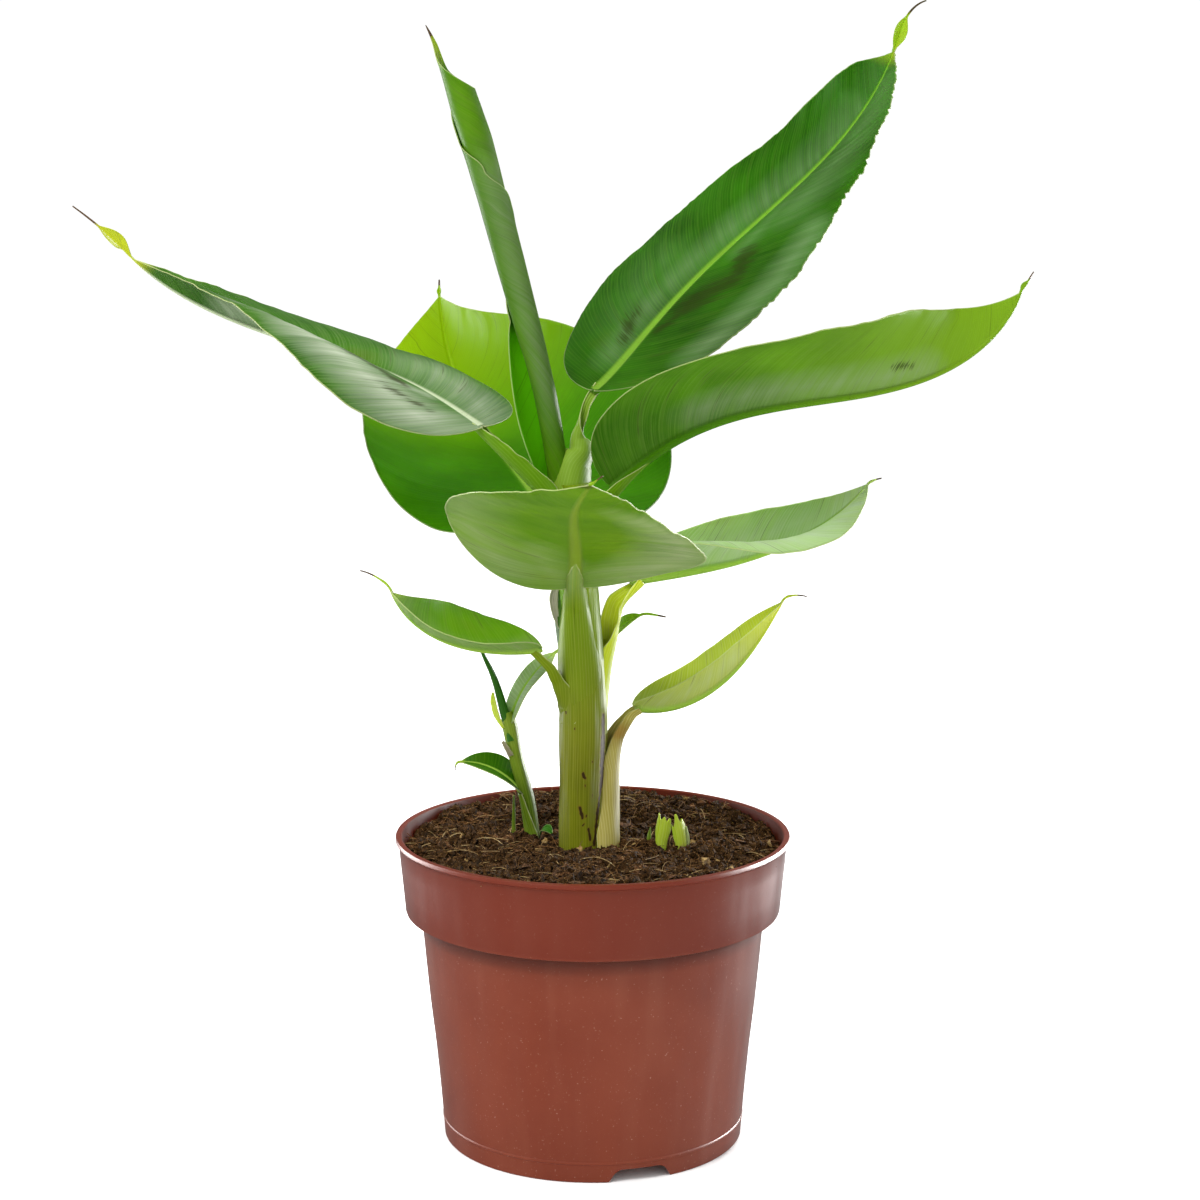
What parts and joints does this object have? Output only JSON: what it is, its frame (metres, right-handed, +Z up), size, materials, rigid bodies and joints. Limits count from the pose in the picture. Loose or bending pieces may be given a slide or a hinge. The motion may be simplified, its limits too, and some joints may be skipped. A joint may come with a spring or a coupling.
{
  "type": "potted banana plant",
  "caption": "Young dwarf banana plant with broad leaves, a rolled new leaf and a small sucker, in a tapered brown plastic nursery pot.",
  "frame": {"origin": "centre of the flat underside of the pot, where the pot's axis meets the plane it stands on", "axes": "+Z up along the pot's axis; +X towards the two long leaves that stand out to one side; -Y towards the leaf that reaches out low at the front"},
  "size_m": [0.4964, 0.4756, 0.6054],
  "materials": {
    "pot": "satin injection-moulded terracotta-brown polypropylene",
    "soil": "matt, crumbly and fibrous peat and coir",
    "stem": "smooth fibrous leaf sheaths, satin, with a few brown flecks",
    "petiole": "smooth satin leaf stalks with pale thin margins",
    "leaf": "smooth leaf blades with fine parallel veins, satin above and bloomy below"
  },
  "bodies": {
    "root": {"cut_shoot_left": "stem", "cut_shoot_right": "stem", "leaf_back": "leaf", "leaf_back_shoot": "leaf", "leaf_front": "leaf", "leaf_left": "leaf", "leaf_left_lower": "leaf", "leaf_right": "leaf", "leaf_right_lower": "leaf", "leaf_right_mid": "leaf", "leaf_rolled": "leaf", "leaf_rolled_margin": "leaf", "leaf_sucker_low": "leaf", "leaf_sucker_right": "leaf", "leaf_upper_right": "leaf", "outer_sheath": "stem", "petiole_back": "petiole", "petiole_back_shoot": "petiole", "petiole_front": "petiole", "petiole_left": "petiole", "petiole_left_lower": "petiole", "petiole_right": "petiole", "petiole_right_mid": "petiole", "petiole_upper_right": "petiole", "pot": "pot", "soil": "soil", "stem": "stem", "sucker_spike": "leaf", "sucker_stem": "stem"}
  },
  "joints": []
}
